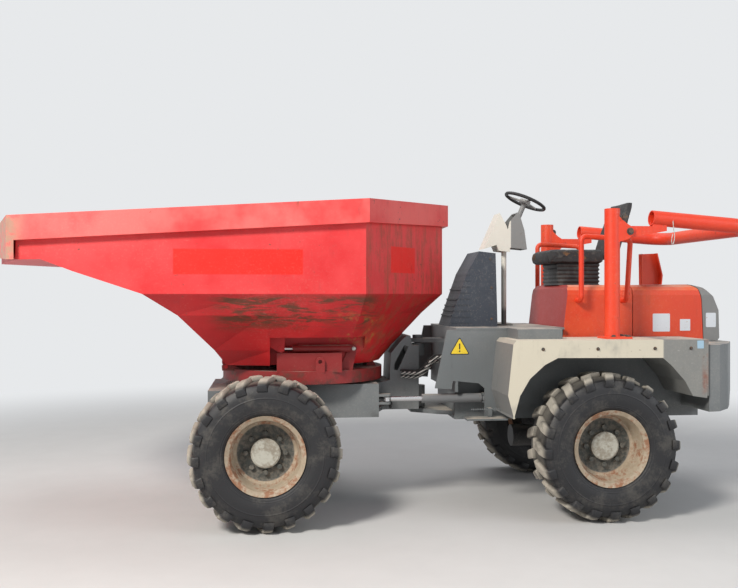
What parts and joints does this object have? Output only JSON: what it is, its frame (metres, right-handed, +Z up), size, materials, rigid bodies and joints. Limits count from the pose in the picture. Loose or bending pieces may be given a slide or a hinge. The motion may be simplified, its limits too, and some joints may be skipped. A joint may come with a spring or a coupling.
{
  "type": "site dumper",
  "caption": "Four-wheel articulated site dumper with a red swivelling tipping skip in front, a seat over the engine hood and a roll-over hoop folded back.",
  "frame": {"origin": "on the ground below the middle of the bounding box, which lies between the two frames", "axes": "+X forward, towards the skip's nose; +Y the machine's left; +Z up"},
  "size_m": [5.857, 2.108, 2.4998],
  "materials": {
    "tyre_rubber": "dusty rubber",
    "rim_paint": "rusty faded paint",
    "dark_iron": "oily cast iron",
    "grey_paint": "dusty satin paint",
    "red_paint": "worn satin paint with rust streaks",
    "ram_chrome": "polished rod",
    "ram_paint": "satin paint",
    "dark_paint": "faded dark paint",
    "black_plastic": "worn plastic",
    "seat_vinyl": "torn vinyl",
    "orange_paint": "faded satin paint"
  },
  "bodies": {
    "rear_frame": {"rear_frame": "grey_paint", "rear_axle": "dark_iron", "mudguard_left": "grey_paint", "mudguard_right": "grey_paint", "platform": "grey_paint", "counterweight": "grey_paint", "steps": "grey_paint", "console": "dark_paint", "steering_column": "dark_paint", "steering_wheel": "black_plastic", "seat_cushion": "seat_vinyl", "seat_backrest": "seat_vinyl", "seat_suspension": "seat_vinyl", "engine_cover": "orange_paint", "rops_posts": "orange_paint", "guard_rails": "orange_paint", "engine_block": "dark_iron"},
    "front_frame": {"front_chassis": "grey_paint", "front_axle": "dark_iron", "slew_ring": "dark_iron"},
    "turntable": {"turntable": "red_paint"},
    "skip": {"skip_shell": "red_paint", "skip_rim": "red_paint"},
    "tip_barrels": {"tip_ram_barrels": "red_paint"},
    "tip_rods": {"tip_ram_rods": "ram_chrome"},
    "steer_barrel": {"steer_barrel": "ram_paint"},
    "steer_rod": {"steer_rod": "ram_chrome"},
    "hoop": {"rops_hoop": "orange_paint"},
    "hood": {"hood": "orange_paint", "hood_bracket": "orange_paint", "rear_grille": "grey_paint"},
    "wheel_front_left": {"tyre_front_left": "tyre_rubber", "rim_front_left": "rim_paint"},
    "wheel_front_right": {"tyre_front_right": "tyre_rubber", "rim_front_right": "rim_paint"},
    "wheel_rear_left": {"tyre_rear_left": "tyre_rubber", "rim_rear_left": "rim_paint"},
    "wheel_rear_right": {"tyre_rear_right": "tyre_rubber", "rim_rear_right": "rim_paint"}
  },
  "joints": [
    {"name": "steering", "type": "hinge", "parent": "rear_frame", "child": "front_frame", "pos_m": [-0.39025, 0, 0.98], "axis": [0, 0, 1], "range_deg": [-28, 28]},
    {"name": "slew", "type": "hinge", "parent": "front_frame", "child": "turntable", "pos_m": [0.54825, 0, 0.98], "axis": [0, 0, 1], "range_deg": [-90, 90]},
    {"name": "tip", "type": "hinge", "parent": "turntable", "child": "skip", "pos_m": [1.14325, 0, 1.1], "axis": [0, 1, 0], "range_deg": [0, 48]},
    {"name": "tip_barrel_swing", "type": "hinge", "parent": "turntable", "child": "tip_barrels", "pos_m": [0.19325, 0, 1.244], "axis": [0, 1, 0], "range_deg": [-25, 1]},
    {"name": "tip_rod_slide", "type": "slide", "parent": "tip_barrels", "child": "tip_rods", "axis": [1, 0, 0], "range_m": [-0.004, 0.29]},
    {"name": "steer_barrel_swing", "type": "hinge", "parent": "rear_frame", "child": "steer_barrel", "pos_m": [-0.84675, 0.428, 0.846], "axis": [0, 0, 1], "range_deg": [-14, 14]},
    {"name": "steer_rod_slide", "type": "slide", "parent": "steer_barrel", "child": "steer_rod", "axis": [1, 0, 0], "range_m": [-0.22, 0.215]},
    {"name": "hoop_fold", "type": "hinge", "parent": "rear_frame", "child": "hoop", "pos_m": [-1.86125, 0, 2.1185], "axis": [0, 1, 0], "range_deg": [0, 94.5]},
    {"name": "hood_hinge", "type": "hinge", "parent": "rear_frame", "child": "hood", "pos_m": [-2.77875, 0, 1.292], "axis": [0, -1, 0], "range_deg": [0, 38]},
    {"name": "wheel_front_left_spin", "type": "hinge", "parent": "front_frame", "child": "wheel_front_left", "pos_m": [0.84325, 0.85, 0.5375], "axis": [0, 1, 0], "continuous": true},
    {"name": "wheel_front_right_spin", "type": "hinge", "parent": "front_frame", "child": "wheel_front_right", "pos_m": [0.84325, -0.85, 0.5375], "axis": [0, 1, 0], "continuous": true},
    {"name": "wheel_rear_left_spin", "type": "hinge", "parent": "rear_frame", "child": "wheel_rear_left", "pos_m": [-1.62375, 0.85, 0.5375], "axis": [0, 1, 0], "continuous": true},
    {"name": "wheel_rear_right_spin", "type": "hinge", "parent": "rear_frame", "child": "wheel_rear_right", "pos_m": [-1.62375, -0.85, 0.5375], "axis": [0, 1, 0], "continuous": true}
  ],
  "couplings": [
    {"joint": "tip_barrel_swing", "follows": "tip", "ratio": -0.435},
    {"joint": "tip_rod_slide", "follows": "tip", "m_per_rad": 0.312},
    {"joint": "steer_barrel_swing", "follows": "steering", "ratio": 0.414},
    {"joint": "steer_rod_slide", "follows": "steering", "m_per_rad": -0.426}
  ]
}
